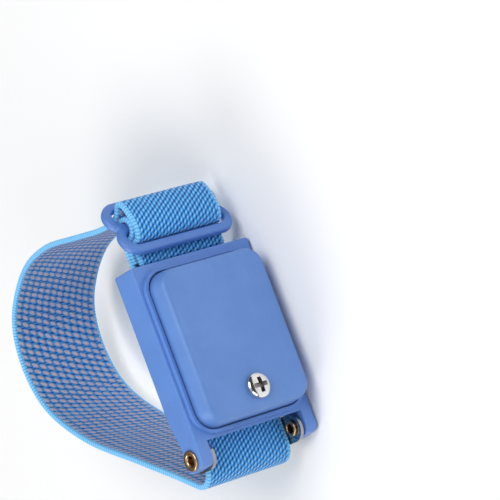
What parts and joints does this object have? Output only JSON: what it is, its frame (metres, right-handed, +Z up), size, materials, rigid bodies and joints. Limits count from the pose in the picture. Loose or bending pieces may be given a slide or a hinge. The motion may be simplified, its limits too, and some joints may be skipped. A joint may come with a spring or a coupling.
{
  "type": "esd wrist strap",
  "caption": "Cordless anti-static wrist strap: blue moulded case with a screwed cover, a hinged steel contact plate on tubular rivets, and an adjustable elastic band with a tri-glide slider.",
  "frame": {"origin": "middle of the footprint, at the lowest point of the strap as it lies on the side of its case", "axes": "+Z up, across the band and parallel to the hinge; +X from the clasp hinge towards the slider; +Y from the cover towards the wrist"},
  "size_m": [0.0624, 0.0678, 0.0316],
  "materials": {
    "case_plastic": "satin moulded plastic",
    "slider_plastic": "satin moulded plastic",
    "webbing": "ribbed elastic webbing with conductive threads on the inside",
    "thread": "twisted polyester thread",
    "contact_steel": "bright rolled stainless sheet",
    "spring_steel": "rolled spring strip",
    "crimp_plate": "satin nickel plating on steel",
    "screw_plate": "bright plating on steel",
    "rivet_brass": "rolled brass",
    "tinned_metal": "tin-plated copper alloy",
    "resistor_coat": "painted ceramic with colour rings"
  },
  "bodies": {
    "case": {"case_body": "case_plastic", "cover_nut": "screw_plate", "solder_tag": "tinned_metal", "resistor_body": "resistor_coat", "resistor_lead_tag": "tinned_metal", "resistor_lead_stud": "tinned_metal", "contact_stud": "rivet_brass", "contact_spring": "spring_steel", "hinge_rivet_left": "rivet_brass", "hinge_rivet_right": "rivet_brass", "band_crimp": "crimp_plate", "wrist_band": "webbing", "band_case_turn": "webbing", "band_front_layer": "webbing", "band_back_layer": "webbing"},
    "cover": {"case_cover": "case_plastic"},
    "screw": {"cover_screw": "screw_plate"},
    "clasp": {"clasp_plate": "contact_steel"},
    "strap_turn": {"band_slider_turn": "webbing", "band_sewn_end": "webbing", "end_stitching": "thread"},
    "slider": {"slider": "slider_plastic"}
  },
  "joints": [
    {"name": "clasp_hinge", "type": "hinge", "parent": "case", "child": "clasp", "pos_m": [-0.02519, -0.02285, 0.0158], "axis": [0, 0, 1], "range_deg": [0, 60]},
    {"name": "slider_slide", "type": "slide", "parent": "case", "child": "strap_turn", "axis": [1, 0, 0], "range_m": [-0.0015, 0.006], "deforming": ["band_front_layer", "band_back_layer", "wrist_band"]},
    {"name": "slider_tilt", "type": "hinge", "parent": "strap_turn", "child": "slider", "pos_m": [0.0245, -0.023, 0.0158], "axis": [0, 0, 1], "range_deg": [-2, 4], "deforming": ["band_slider_turn", "band_front_layer", "wrist_band"]},
    {"name": "cover_lift", "type": "slide", "parent": "case", "child": "cover", "axis": [0, -1, 0], "range_m": [0, 0.012]},
    {"name": "screw_turn", "type": "hinge", "parent": "cover", "child": "screw", "pos_m": [-0.0155, -0.03205, 0.0158], "axis": [0, -1, 0], "continuous": true}
  ]
}
